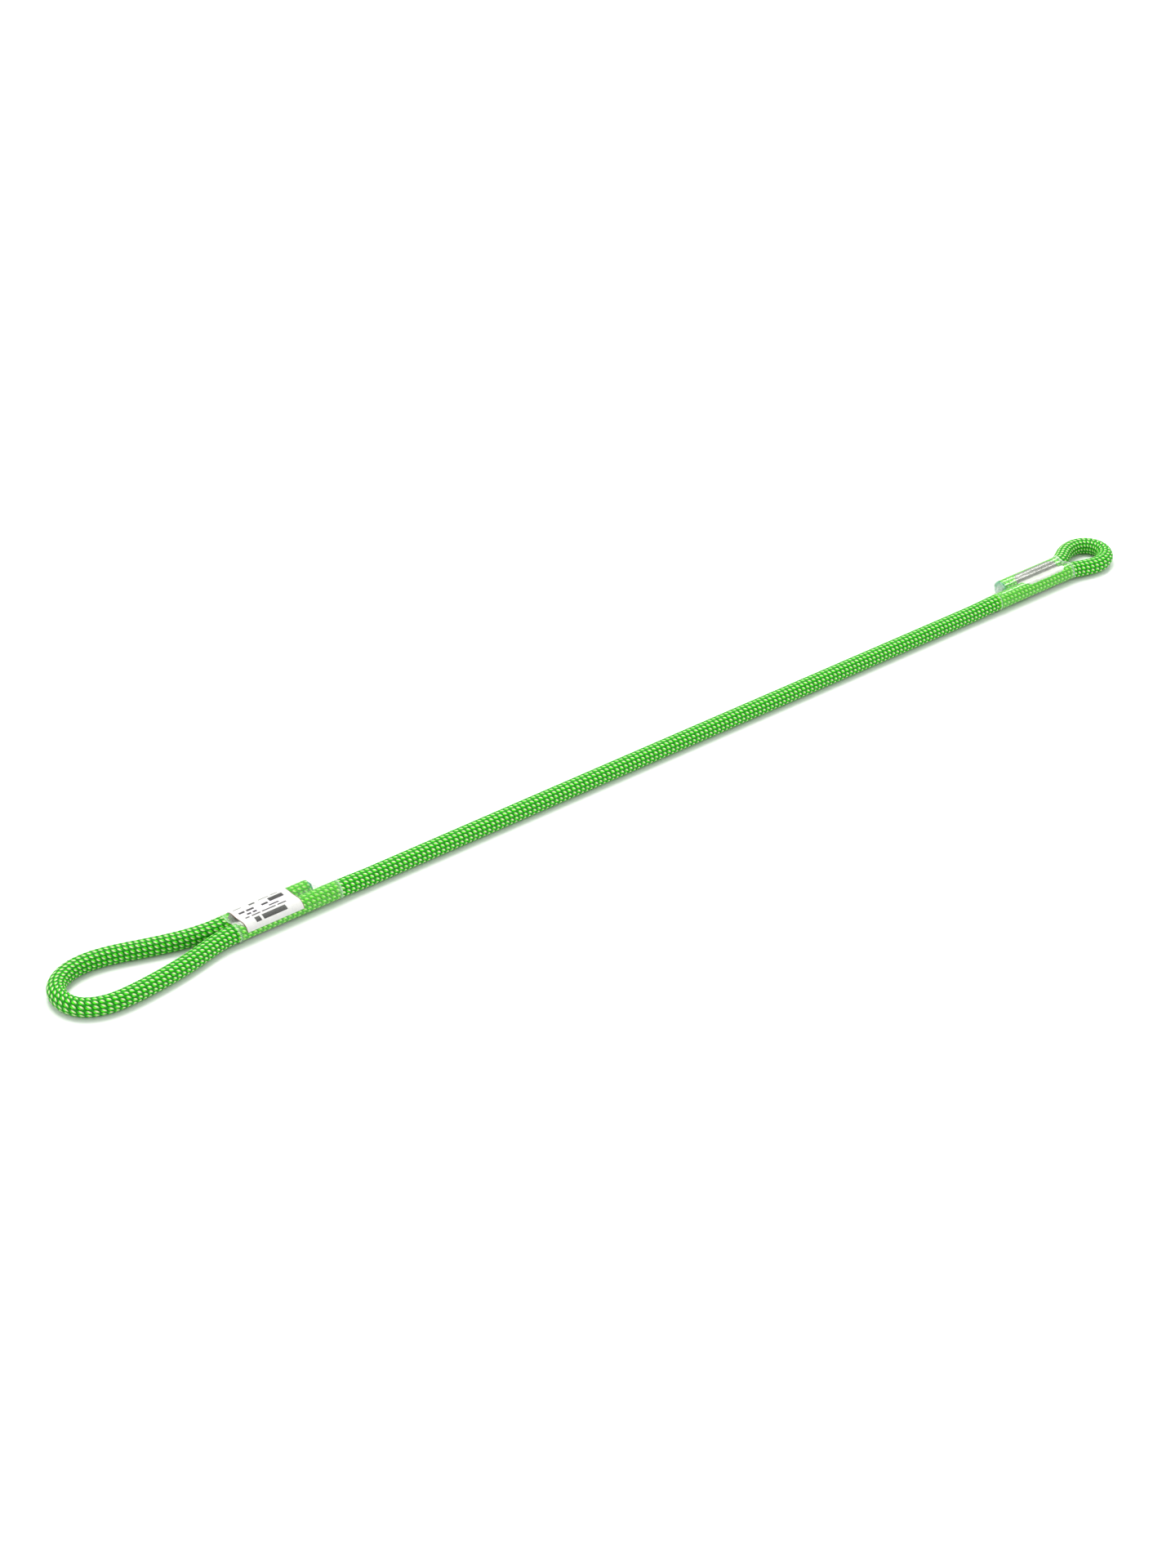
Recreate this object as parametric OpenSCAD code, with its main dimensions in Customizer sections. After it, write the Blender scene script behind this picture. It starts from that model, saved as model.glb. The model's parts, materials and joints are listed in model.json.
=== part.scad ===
// Sewn rope lanyard: one length of kernmantle rope with a sewn eye at each end.
// It lies flat along X. The large, labelled eye is at -X, the small eye at +X, and the two
// rope tails lie on the +Y side of the standing rope.

/* [Rope] */
// Diameter of the rope over its braided sheath
rope_d = 9.8; // [9.6:0.1:9.9]
// Diameter of the bundle of core strands
core_d = 7; // [5:0.5:8]
// Space between the two sewn legs
leg_gap = 0.4; // [0.2:0.1:0.6]

/* [Sleeves] */
// Wall thickness of the shrunk clear sleeve
sleeve_wall = 0.45; // [0.3:0.05:0.6]
// Length of a sleeve along the rope
sleeve_l = 64; // [62:1:66]
// Length of the large eye's tail end inside its sleeve
near_tail_l = 51; // [49:1:53]
// Length of the small eye's tail end inside its sleeve
far_tail_l = 45; // [43:1:47]

/* [Label] */
// Length of the label along the rope
label_l = 35; // [25:1:36]
// Thickness of the label film
label_t = 0.1; // [0.05:0.01:0.12]

/* [Stitching] */
// Diameter of the sewing thread
thread_d = 0.5; // [0.3:0.05:0.6]
// Rows of thread in each stitch block
stitch_rows = 24; // [12:1:28]
// Distance from one row of thread to the next
stitch_pitch = 1.45; // [1.2:0.05:1.5]

/* [Bends] */
// Position of the bend beside the large eye's sleeve
first_bend_x = -182; // [-190:1:-178]
// Position of the bend beside the small eye's sleeve
last_bend_x = 247; // [240:1:250]

/* [Hidden] */
$fn = 64;
rope_r = rope_d / 2;
core_r = core_d / 2;
core_fit = 0.03;                     // radial room between core and sheath
sleeve_fit = 0.15;                   // radial room between rope and sleeve, which the label fills
label_fit = 0.02;                    // radial room between rope and label
bore_r = core_r + core_fit;
sleeve_in_r = rope_r + sleeve_fit;
sleeve_out_r = sleeve_in_r + sleeve_wall;
axis_z = sleeve_out_r;               // the sleeves rest on the ground
standing_y = -8.2;                   // axis of the standing rope
tail_y = standing_y + rope_d + leg_gap;

near_leg_x = -272.5;                   // where the large eye's two legs become straight
near_mouth_x = -273.5;                 // the sleeve's end at the large eye
near_sleeve_x = near_mouth_x + sleeve_l;
near_tail_x = near_leg_x + near_tail_l;
label_x = near_mouth_x + 5;
far_leg_x = 331;                     // where the small eye's two legs become straight
far_mouth_x = 334;                   // the sleeve's end at the small eye
far_sleeve_x = far_mouth_x - sleeve_l;
far_tail_x = far_leg_x - far_tail_l;

cap_l = 1.6;                         // length of a melted tail end
cap_dome_r = 9;                      // radius of its domed face
cap_room = 0.4;                      // from a melted end to the sleeve's closed end
label_low_z = 1.1;                   // the label's long edges above the rope's axis
thread_z = 4.3;                      // height of the threads above and below the rope's axis
thread_reach = 2.8;                  // from a leg's axis to the end of a thread
stitch_inset = 1.6;                  // from the straight legs' start to the first thread

bends = 7;                           // the bends that stand for the rope's flexing
stretches = bends - 1;
bend_step = (last_bend_x - first_bend_x) / stretches;
bend_room = rope_r + 0.3;            // from a bend's centre back to the end of the rope before it

sides = 12;                          // sides of a swept eye
steps = 2;                           // rings for each control point of its route

// Control points of each eye's centre line, from its tail leg round to its standing leg
near_route = [
    [-264.5, tail_y], [-272.5, tail_y], [-280.5, tail_y], [-288, 3.3], [-296.5, 5.1], [-306, 7.8],
    [-318, 12], [-331, 16.8], [-344, 19.4], [-357, 18], [-368, 10.5], [-371.2, -1],
    [-368, -12], [-357, -18.5], [-344, -19.1], [-331, -18], [-318, -16.4], [-306, -14.2],
    [-296.5, -11.9], [-288, -9.6], [-280.5, standing_y], [-272.5, standing_y], [-264.5, standing_y]
];
far_route = [
    [326, tail_y], [331, tail_y], [336, 2.2], [341, 4.6], [346.5, 8.4], [353, 11.4],
    [360.5, 12.2], [368, 8.8], [371.3, 0.6], [367.8, -7.8], [360, -12.4], [351.5, -12.8],
    [343.5, -10.8], [337, -8.6], [331, standing_y], [326, standing_y]
];

// ---- rope ----

// A round bar along X
module bar(x0, x1, y, r) {
    translate([x0, y, axis_z]) rotate([0, 90, 0]) cylinder(r = r, h = x1 - x0);
}

module sheath_color() {
    color([0.22, 0.74, 0.10]) children();
}

module core_color() {
    color([0.94, 0.93, 0.88]) children();
}

module sheath(x0, x1, y) {
    sheath_color() difference() {
        bar(x0, x1, y, rope_r);
        bar(x0 - 1, x1 + 1, y, bore_r);
    }
}

module core(x0, x1, y) {
    core_color() bar(x0, x1, y, core_r);
}

// A stretch of sheath whose low-X end is a ball, closed over the core, that turns at a bend
module ball_sheath(bend_x, x1) {
    length = x1 - bend_x;
    sheath_color() translate([bend_x, standing_y, axis_z]) rotate([0, 90, 0]) rotate_extrude() {
        intersection() {
            circle(r = rope_r);
            translate([0, -rope_r]) square([rope_r, rope_r]);
        }
        translate([bore_r, 0]) square([rope_r - bore_r, length]);
    }
}

function bend_x(i) = first_bend_x + (i - 1) * bend_step;

module shank_sheath(i) {
    ball_sheath(bend_x(i), bend_x(i + 1) - bend_room);
}

module shank_core(i) {
    core(bend_x(i) + core_fit, bend_x(i + 1) - bend_room, standing_y);
}

// A point of the cubic B-spline on control points p, in span i at t from 0 to 1
function spline_point(p, i, t) = (
    pow(1 - t, 3) * p[i] + (3 * pow(t, 3) - 6 * pow(t, 2) + 4) * p[i + 1]
    + (-3 * pow(t, 3) + 3 * pow(t, 2) + 3 * t + 1) * p[i + 2] + pow(t, 3) * p[i + 3]
) / 6;

function spline_slope(p, i, t) = (
    -pow(1 - t, 2) * p[i] + (3 * pow(t, 2) - 4 * t) * p[i + 1]
    + (-3 * pow(t, 2) + 2 * t + 1) * p[i + 2] + pow(t, 2) * p[i + 3]
) / 2;

function ring(at, along, r) = [
    for (k = [0:sides - 1])
        let (side = r * cos(360 * k / sides), rise = r * sin(360 * k / sides))
        [at[0] - along[1] * side, at[1] + along[0] * side, axis_z + rise]
];

function route_rings(p, r) = [
    for (j = [0:(len(p) - 3) * steps])
        let (i = min(floor(j / steps), len(p) - 4), t = j / steps - i)
        let (slope = spline_slope(p, i, t))
        ring(spline_point(p, i, t), slope / norm(slope), r)
];

function flat(lists) = [for (a = lists) for (b = a) b];

// The quads between two loops of points that start at a and b
function band(a, b) = [for (k = [0:sides - 1]) let (n = (k + 1) % sides) [a + k, a + n, b + n, b + k]];

module swept_bar(p, r) {
    rings = route_rings(p, r);
    last = (len(rings) - 1) * sides;
    walls = [for (j = [0:len(rings) - 2]) band((j + 1) * sides, j * sides)];
    ends = [[for (k = [0:sides - 1]) k], [for (k = [sides - 1:-1:0]) last + k]];
    polyhedron(points = flat(rings), faces = concat(flat(walls), ends));
}

module swept_tube(p, r_out, r_in) {
    rings_out = route_rings(p, r_out);
    rings_in = route_rings(p, r_in);
    count = len(rings_out);
    inner = count * sides;
    last = (count - 1) * sides;
    walls_out = [for (j = [0:count - 2]) band((j + 1) * sides, j * sides)];
    walls_in = [for (j = [0:count - 2]) band(inner + j * sides, inner + (j + 1) * sides)];
    ends = [band(0, inner), band(inner + last, last)];
    polyhedron(
        points = concat(flat(rings_out), flat(rings_in)),
        faces = concat(flat(walls_out), flat(walls_in), flat(ends))
    );
}

module eye_sheath(route) {
    sheath_color() swept_tube(route, rope_r, bore_r);
}

module eye_core(route) {
    core_color() swept_bar(route, core_r);
}

// The melted, slightly domed end of a tail. It faces +X for way = 1 and -X for way = -1
module tail_cap(x, way) {
    color([0.10, 0.45, 0.12]) translate([x, tail_y, axis_z]) rotate([0, way * 90, 0])
        rotate_extrude() intersection() {
            translate([0, cap_l - cap_dome_r]) circle(r = cap_dome_r);
            square([rope_r, cap_l]);
        }
}

// ---- what holds the two legs together ----

module stitching(x0) {
    color([0.88, 0.89, 0.86])
    for (i = [0:stitch_rows - 1], side = [-1, 1])
        translate([x0 + i * stitch_pitch, standing_y + thread_reach, axis_z + side * thread_z])
            rotate([-90, 0, 0])
                cylinder(d = thread_d, h = tail_y - standing_y - 2 * thread_reach);
}

// The outline round both legs, at radius r from their axes
module two_legs(r) {
    half_round(standing_y, -1, r);
    half_round(tail_y, 1, r);
    translate([standing_y, axis_z - r]) square([tail_y - standing_y, 2 * r]);
}

module half_round(y, way, r) {
    translate([y, axis_z]) intersection() {
        circle(r = r);
        translate([min(0, way * r), -r]) square([r, 2 * r]);
    }
}

module one_leg(r) {
    translate([standing_y, axis_z]) circle(r = r);
}

module slab(x0, x1) {
    translate([min(x0, x1), 0, 0]) rotate([90, 0, 90]) linear_extrude(height = abs(x1 - x0)) children();
}

// The sleeve's solid form at radius r: round both legs, closed just past the tail end, and on
// round the standing rope alone
module sleeve_form(mouth_x, close_x, end_x, r) {
    slab(mouth_x, close_x) two_legs(r);
    slab(close_x, end_x) one_leg(r);
}

module sleeve(mouth_x, tail_x, end_x, way) {
    close_x = tail_x + way * (cap_l + cap_room);
    color([0.85, 0.95, 0.85, 0.4]) difference() {
        sleeve_form(mouth_x, close_x + way * sleeve_wall, end_x, sleeve_out_r);
        sleeve_form(mouth_x - way, close_x, end_x + way, sleeve_in_r);
    }
}

module label() {
    color([0.95, 0.93, 0.93]) slab(label_x, label_x + label_l) intersection() {
        difference() {
            two_legs(rope_r + label_fit + label_t);
            two_legs(rope_r + label_fit);
        }
        translate([-3 * rope_d, axis_z + label_low_z]) square([6 * rope_d, rope_d]);
    }
}

// ---- the large eye's end ----
eye_sheath(near_route);  // near_eye_sheath
eye_core(near_route);  // near_eye_core
sheath(near_leg_x, near_tail_x, tail_y);  // near_tail_sheath
core(near_leg_x, near_tail_x, tail_y);  // near_tail_core
tail_cap(near_tail_x, 1);  // near_tail_cap
sheath(near_leg_x, bend_x(1) - bend_room, standing_y);  // near_standing_sheath
core(near_leg_x, bend_x(1) - bend_room, standing_y);  // near_standing_core
stitching(near_leg_x + stitch_inset);  // near_stitching
sleeve(near_mouth_x, near_tail_x, near_sleeve_x, 1);  // near_sleeve
label();

// ---- the free rope between the sleeves ----
for (i = [1:stretches]) {
    shank_sheath(i);
    shank_core(i);
}

// ---- the small eye's end ----
eye_sheath(far_route);  // far_eye_sheath
eye_core(far_route);  // far_eye_core
sheath(far_tail_x, far_leg_x, tail_y);  // far_tail_sheath
core(far_tail_x, far_leg_x, tail_y);  // far_tail_core
tail_cap(far_tail_x, -1);  // far_tail_cap
ball_sheath(last_bend_x, far_leg_x);  // far_standing_sheath
core(last_bend_x + core_fit, far_leg_x, standing_y);  // far_standing_core
stitching(far_leg_x - stitch_inset - (stitch_rows - 1) * stitch_pitch);  // far_stitching
sleeve(far_mouth_x, far_tail_x, far_sleeve_x, -1);  // far_sleeve
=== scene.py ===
"""A sewn rope lanyard on a pale floor: braided rope, two sewn eyes, clear sleeves and a label.

Sizes are in metres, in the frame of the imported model: the rope lies along X on the ground, with the
large, labelled eye at -X and the small eye at +X.
"""

import json
import math

import bpy
import numpy as np
from bpy.props import FloatProperty, FloatVectorProperty, IntProperty, PointerProperty
from bpy.types import Operator, Panel, PropertyGroup
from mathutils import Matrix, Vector


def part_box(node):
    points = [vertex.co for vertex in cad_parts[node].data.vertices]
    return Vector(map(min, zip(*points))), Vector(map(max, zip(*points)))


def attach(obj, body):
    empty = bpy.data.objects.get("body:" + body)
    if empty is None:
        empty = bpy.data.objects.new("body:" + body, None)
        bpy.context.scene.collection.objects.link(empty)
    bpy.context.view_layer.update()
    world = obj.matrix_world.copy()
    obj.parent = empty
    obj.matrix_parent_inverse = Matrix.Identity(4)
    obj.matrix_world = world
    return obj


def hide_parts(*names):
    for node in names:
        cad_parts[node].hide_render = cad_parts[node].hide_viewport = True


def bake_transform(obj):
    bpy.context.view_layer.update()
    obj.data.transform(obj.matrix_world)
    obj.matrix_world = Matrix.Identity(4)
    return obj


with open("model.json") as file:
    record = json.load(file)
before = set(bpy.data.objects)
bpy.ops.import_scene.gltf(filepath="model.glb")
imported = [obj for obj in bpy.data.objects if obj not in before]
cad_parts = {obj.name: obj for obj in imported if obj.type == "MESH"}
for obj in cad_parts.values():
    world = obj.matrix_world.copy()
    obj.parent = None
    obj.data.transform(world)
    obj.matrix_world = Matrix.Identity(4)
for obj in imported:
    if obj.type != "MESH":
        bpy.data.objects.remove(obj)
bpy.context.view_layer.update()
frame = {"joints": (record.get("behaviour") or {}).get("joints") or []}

bl_info = {
    "name": "Sewn Rope Lanyard",
    "version": (1, 0, 0),
    "blender": (4, 5, 0),
    "location": "View3D > Sidebar > Lanyard",
    "description": "Builds a braided rope lanyard with two sewn eyes, clear sleeves and a label",
    "category": "Add Mesh",
}

MM = 0.001

# ---- places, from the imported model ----

LARGE_END = "large_eye_end"
SMALL_END = "small_eye_end"
BENDS = sorted(frame["joints"], key=lambda joint: joint["pos_m"][0])
BEND_STEP = BENDS[1]["pos_m"][0] - BENDS[0]["pos_m"][0]


def x_span(node):
    """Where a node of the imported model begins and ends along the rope."""
    return [corner.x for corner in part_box(node)]


_low, _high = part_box("near_standing_sheath")
ROPE_RADIUS = (_high.z - _low.z) / 2
AXIS_Z = (_high.z + _low.z) / 2  # where the sleeves hold the rope
STANDING_Y = (_high.y + _low.y) / 2
LARGE_LEG_X = _low.x  # where the large eye's legs become straight
_low, _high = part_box("near_tail_sheath")
TAIL_Y = (_high.y + _low.y) / 2
LARGE_TAIL_X = _high.x
_low, _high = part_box("near_standing_core")
CORE_RADIUS = (_high.z - _low.z) / 2
LARGE_CAP_X = x_span("near_tail_cap")[1]
SMALL_TAIL_X = x_span("far_tail_sheath")[0]
SMALL_CAP_X = x_span("far_tail_cap")[0]
LARGE_SLEEVE_X, SMALL_SLEEVE_X = SLEEVES_X = x_span("near_sleeve"), x_span("far_sleeve")
LARGE_STITCH_X, SMALL_STITCH_X = STITCHES_X = x_span("near_stitching"), x_span("far_stitching")
LABEL_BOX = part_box("label")

# Control points of each eye's centre line, from its tail leg to its standing leg
LARGE_EYE_ROUTE = [
    (-0.2645, TAIL_Y), (-0.2725, TAIL_Y), (-0.2805, TAIL_Y), (-0.288, 0.0033), (-0.2965, 0.0051),
    (-0.306, 0.0078), (-0.318, 0.012), (-0.331, 0.0168), (-0.344, 0.0194), (-0.357, 0.018),
    (-0.368, 0.0105), (-0.3712, -0.001), (-0.368, -0.012), (-0.357, -0.0185), (-0.344, -0.0191),
    (-0.331, -0.018), (-0.318, -0.0164), (-0.306, -0.0142), (-0.2965, -0.0119), (-0.288, -0.0096),
    (-0.2805, STANDING_Y), (-0.2725, STANDING_Y), (-0.2645, STANDING_Y),
]
SMALL_EYE_ROUTE = [
    (0.326, TAIL_Y), (0.331, TAIL_Y), (0.336, 0.0022), (0.341, 0.0046), (0.3465, 0.0084),
    (0.353, 0.0114), (0.3605, 0.0122), (0.368, 0.0088), (0.3713, 0.0006), (0.3678, -0.0078),
    (0.360, -0.0124), (0.3515, -0.0128), (0.3435, -0.0108), (0.337, -0.0086),
    (0.331, STANDING_Y), (0.326, STANDING_Y),
]

# How far inside the sleeves the free rope's first and last pieces begin
SLEEVE_OVERLAP = 7 * MM
FREE_ROPE_X = LARGE_SLEEVE_X[1] - SLEEVE_OVERLAP, SMALL_SLEEVE_X[0] + SLEEVE_OVERLAP


# ---- sizes and colours ----


def length(name, default, description):
    """A property for a length in metres."""
    return FloatProperty(
        name=name, description=description, default=default, unit="LENGTH", precision=5
    )


def color(name, default, description):
    """A property for a linear colour."""
    return FloatVectorProperty(
        name=name, description=description, default=default, subtype="COLOR",
        size=3, min=0.0, max=1.0,
    )


def share(name, default, description):
    """A property for a share from 0 to 1."""
    return FloatProperty(
        name=name, description=description, default=default, subtype="FACTOR", min=0.0, max=1.0
    )


def angle(name, degrees, description):
    """A property for an angle."""
    return FloatProperty(
        name=name, description=description, default=math.radians(degrees), subtype="ANGLE"
    )


class RopeProperties(PropertyGroup):
    fleck_pitch: length("Fleck Pitch", 3.06 * MM, "Distance from one fleck to the next")
    strands: IntProperty(name="Strands", description="Strands each way round", default=12)
    sides: IntProperty(name="Sides", description="Points round the rope", default=120)
    rings_per_pitch: IntProperty(name="Rings", description="Rings of points to a fleck", default=10)
    relief: length("Relief", 0.5 * MM, "Depth of the valleys between the strands")
    ground_gap: length("Ground Gap", 0.05 * MM, "Space between the free rope and the ground")
    # Painted shade and highlight: both ways round, the strands are one green yarn, drawn darker where
    # a crossing strand lies on top and brighter where a running strand does. The sleeved colours are
    # the same yarns drawn lighter under the film, with less of this painted contrast.
    shaded_crossing_green: color("Crossing Green", (0.003, 0.33, 0.001), "Strands without a pale yarn")
    lit_running_green: color("Running Green", (0.070, 0.90, 0.006), "Green yarn beside a pale yarn")
    sleeved_shaded_crossing: color("Sleeved Crossing", (0.050, 0.56, 0.003), "Crossing green under film")
    sleeved_lit_running: color("Sleeved Running", (0.14, 0.90, 0.010), "Running green under film")
    pale_green: color("Pale Green", (0.76, 1.00, 0.48), "Pale yarn that makes the flecks")
    sleeved_pale: color("Sleeved Pale", (0.52, 1.00, 0.28), "Pale yarn under film")
    core_white: color("Core White", (0.86, 0.84, 0.77), "Strands inside the sheath")
    melt_green: color("Melt Green", (0.010, 0.19, 0.075), "Melted tail ends")


class StitchProperties(PropertyGroup):
    passes: IntProperty(name="Passes", description="Runs of thread across one face", default=48)
    thread: length("Thread", 0.54 * MM, "Diameter of the thread")
    depth: length("Depth", 0.28 * MM, "How far the thread's middle lies inside the rope's surface")
    press: length("Press", 0.42 * MM, "How far the thread presses the sheath in")
    tail_overrun: length("Tail Overrun", 0.8 * MM, "Reach of the thread past the tail leg's top")
    standing_overrun: length("Standing Overrun", 2.2 * MM, "Reach past the standing leg's top")
    thread_white: color("Thread White", (0.84, 0.86, 0.82), "Sewing thread on the standing leg")
    # Painted shade: the grey is the same thread, drawn for the tail leg's side of the valley, which
    # lies in shade
    shaded_thread_grey: color("Thread Grey", (0.26, 0.27, 0.25), "Sewing thread on the tail leg")


class SleeveProperties(PropertyGroup):
    fit: length("Fit", 0.16 * MM, "Space between the rope and the sleeve")
    wall: length("Wall", 0.36 * MM, "Thickness of the shrunk sleeve")
    web: length("Web", 9.5 * MM, "Length of the film from the tail end down to the standing rope")
    wrinkle: length("Wrinkle", 0.12 * MM, "Height of the film's wrinkles")
    haze: share("Haze", 0.012, "Share of the light that the film scatters")
    milkiness: share("Milkiness", 0.24, "Share of the light that its rims and web scatter")
    film_tint: color("Film Tint", (0.90, 0.93, 0.90), "Scattered light's colour")


class LabelProperties(PropertyGroup):
    thickness: length("Thickness", 0.09 * MM, "Thickness of the label")
    fit: length("Fit", 0.02 * MM, "Space between the rope and the label")
    sag: length("Sag", 0.25 * MM, "How far the label sinks between the legs")
    cell: length("Cell", 0.35 * MM, "Grid of the printed bars")
    film_white: color("Label White", (0.77, 0.74, 0.77), "Label film")
    ink: color("Ink", (0.022, 0.020, 0.022), "Printed bars")
    edge_brown: color("Edge Brown", (0.20, 0.09, 0.05), "Cut edge of the label")


class StageProperties(PropertyGroup):
    azimuth: angle("Azimuth", 39.6, "Direction that the camera looks in, from +Y towards +X")
    elevation: angle("Elevation", 31.73, "Angle that the camera looks down at")
    view_angle: angle("View Angle", 19.92, "Angle across the picture")
    distance: length("Distance", 1.78, "Distance from the camera to the point it looks at")
    aim_x: length("Aim X", -0.0441, "Point on the ground that the camera looks at")
    aim_y: length("Aim Y", -0.0004, "Point on the ground that the camera looks at")
    floor_white: color("Floor White", (0.93, 0.93, 0.932), "Floor")
    sky_strength: FloatProperty(name="Sky", description="Light from all round", default=0.95)
    key_power: FloatProperty(
        name="Key Light", description="Power of the large soft light", default=34.0, unit="POWER"
    )
    rim_power: FloatProperty(
        name="Rim Light", description="Power of the small light", default=12.0, unit="POWER"
    )


PROPERTY_GROUPS = {
    "rope": RopeProperties,
    "stitch": StitchProperties,
    "sleeve": SleeveProperties,
    "label": LabelProperties,
    "stage": StageProperties,
}


def settings(kind):
    return getattr(bpy.context.scene, "lanyard_" + kind)


# ---- meshes ----


def mesh_object(name, points, *faces):
    """A smooth mesh object from points and from arrays of quads or triangles that face outwards."""
    corners = np.concatenate([np.ravel(part) for part in faces]).astype(np.int32)
    sizes = np.concatenate([np.full(len(part), len(part[0])) for part in faces])
    starts = (np.cumsum(sizes) - sizes).astype(np.int32)
    mesh = bpy.data.meshes.new(name)
    mesh.vertices.add(len(points))
    mesh.vertices.foreach_set("co", np.asarray(points, np.float32).ravel())
    mesh.loops.add(len(corners))
    mesh.polygons.add(len(sizes))
    mesh.polygons.foreach_set("loop_start", starts)
    mesh.loops.foreach_set("vertex_index", corners)
    mesh.update(calc_edges=True)
    mesh.validate()
    mesh.shade_smooth()
    made = bpy.data.objects.new(name, mesh)
    bpy.context.scene.collection.objects.link(made)
    return made


def wrapped_quads(rows, columns):
    """Quads between rows of points that close into rings."""
    point = np.arange(rows * columns).reshape(rows, columns)
    after = np.roll(point, -1, 1)
    return np.stack([point[:-1], after[:-1], after[1:], point[1:]], -1).reshape(-1, 4)


def end_fans(rows, columns, first_centre):
    """Triangles that close a tube at its first and last ring, round two centre points."""
    k = np.arange(columns)
    after = (k + 1) % columns
    last = (rows - 1) * columns
    start = np.stack([np.full(columns, first_centre), after, k], -1)
    end = np.stack([np.full(columns, first_centre + 1), last + k, last + after], -1)
    return np.concatenate([start, end])


def tube(name, rings, ends):
    """A closed tube through rings of points, and round a centre point at each of its two ends."""
    rows, columns = rings.shape[:2]
    count = rows * columns
    points = np.concatenate([rings.reshape(-1, 3), ends])
    return mesh_object(name, points, wrapped_quads(rows, columns), end_fans(rows, columns, count))


def outward(turns, side, up):
    """Directions round each ring, from its side towards its up."""
    turns = turns[None, :, None]
    return np.cos(turns) * side[:, None, :] + np.sin(turns) * up[:, None, :]


def unit(vectors):
    return vectors / np.linalg.norm(vectors, axis=1)[:, None]


def around(sides):
    """Angles of the points round a ring."""
    return 2 * math.pi * np.arange(sides) / sides


def paint(made, name, values):
    """Keeps one number for each point of a piece, for its material to read. End points get 0."""
    kept = np.zeros(len(made.data.vertices), np.float32)
    kept[: np.size(values)] = np.ravel(values)
    made.data.attributes.new(name, "FLOAT", "POINT").data.foreach_set("value", kept)


def smooth_step(value, start, end):
    """0 before start, 1 after end, and an even turn between them."""
    t = np.clip((value - start) / (end - start), 0, 1)
    return t * t * (3 - 2 * t)


def fade(distance, reach):
    return math.exp(-distance / reach)


def window(x, spans, before, within):
    """1 inside some spans and 0 outside them. It turns from before each end to within it."""
    return sum(
        smooth_step(x, low - before, low + within)
        * (1 - smooth_step(x, high - within, high + before))
        for low, high in spans
    )


def finish_piece(made, body, nodes, slot, *materials):
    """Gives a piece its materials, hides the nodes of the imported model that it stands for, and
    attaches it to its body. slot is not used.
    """
    for material in materials:
        made.data.materials.append(material)
    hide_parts(*nodes)
    if body is not None:
        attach(made, body)
    return made


# ---- the rope's route ----


def spline(points, steps=24):
    """Points along the uniform cubic B-spline of some control points."""
    p = np.array(points)
    t = np.arange(steps)[:, None] / steps
    weights = (
        (1 - t) ** 3, 3 * t**3 - 6 * t**2 + 4, -3 * t**3 + 3 * t**2 + 3 * t + 1, t**3,
    )
    spans = [sum(w * p[i + n] for n, w in enumerate(weights)) / 6 for i in range(len(p) - 3)]
    return np.concatenate([*spans, [(p[-3] + 4 * p[-2] + p[-1]) / 6]])


class Route:
    """The rope's centre line, from the large eye's tail end to the small eye's, in even steps."""

    def __init__(self, rope):
        large, small = spline(LARGE_EYE_ROUTE), spline(SMALL_EYE_ROUTE)[::-1]
        flat = np.concatenate([[(LARGE_TAIL_X, TAIL_Y)], large, small, [(SMALL_TAIL_X, TAIL_Y)]])
        along = np.concatenate([[0], np.cumsum(np.linalg.norm(np.diff(flat, axis=0), axis=1))])
        self.step = rope.fleck_pitch / rope.rings_per_pitch
        count = int(round(along[-1] / self.step)) + 1
        self.along = np.arange(count) * self.step
        x, y = (np.interp(self.along, along, flat[:, k]) for k in (0, 1))
        self.centre = np.stack([x, y, self.height(x, rope)], -1)
        self.tangent = unit(np.gradient(self.centre, axis=0))
        self.side = unit(
            np.stack([-self.tangent[:, 1], self.tangent[:, 0], np.zeros(count)], -1)
        )
        self.up = np.cross(self.tangent, self.side)
        self.large_eye = along[[1, len(large)]]
        self.small_eye = along[[len(large) + 1, len(along) - 2]]

    @staticmethod
    def height(x, rope):
        """The rope lies on the ground, and rises a little to go into the sleeves."""
        free = ROPE_RADIUS + rope.ground_gap
        slope = 22 * MM
        return free + (AXIS_Z - free) * window(x, SLEEVES_X, slope, 0)

    def index(self, distance):
        """The ring nearest to a distance along the rope."""
        return int(np.clip(round(distance / self.step), 0, len(self.along) - 1))

    def standing(self, x):
        """The ring nearest to a place on the standing rope, between the eyes."""
        return self.index(self.large_eye[1] + x - LARGE_LEG_X)


# ---- the braid ----


def ridge(across):
    """A rounded ridge: 1 along the middle, where across is 0, and 0 at its edges, at -1 and 1."""
    return np.sqrt(np.clip(1 - across**2, 0, 1))


def braid(turn, along, rope):
    """Height from 0 to 1, and what lies on top, for places round and along the sheath.

    Twelve strands run each way, one over and one under. Each has two yarns. One way, one of the two
    is pale.
    """
    wave_height, strand_height, yarn_height, highest = 0.16, 0.15, 0.10, 0.36
    aside, forward = rope.strands * turn, along / rope.fleck_pitch
    u, v = aside - forward, aside + forward
    strand_u, strand_v = np.round(u), np.round(v)
    across_u, across_v = u - strand_u, v - strand_v

    def surface(across, wave):
        yarn = ridge(4 * np.abs(across) - 1)
        return wave_height * wave + strand_height * ridge(2 * across) + yarn_height * yarn

    flecked = surface(across_u, np.cos(math.pi * (v - strand_u)))
    plain = surface(across_v, -np.cos(math.pi * (u - strand_v)))
    top = np.maximum(flecked, plain)
    over = flecked > plain
    return {
        "lift": np.clip(top / highest, 0, 1),
        "over": over.astype(float),
        "pale": (over & (across_u < 0)).astype(float),
        "u": u,
        "v": v,
    }


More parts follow.
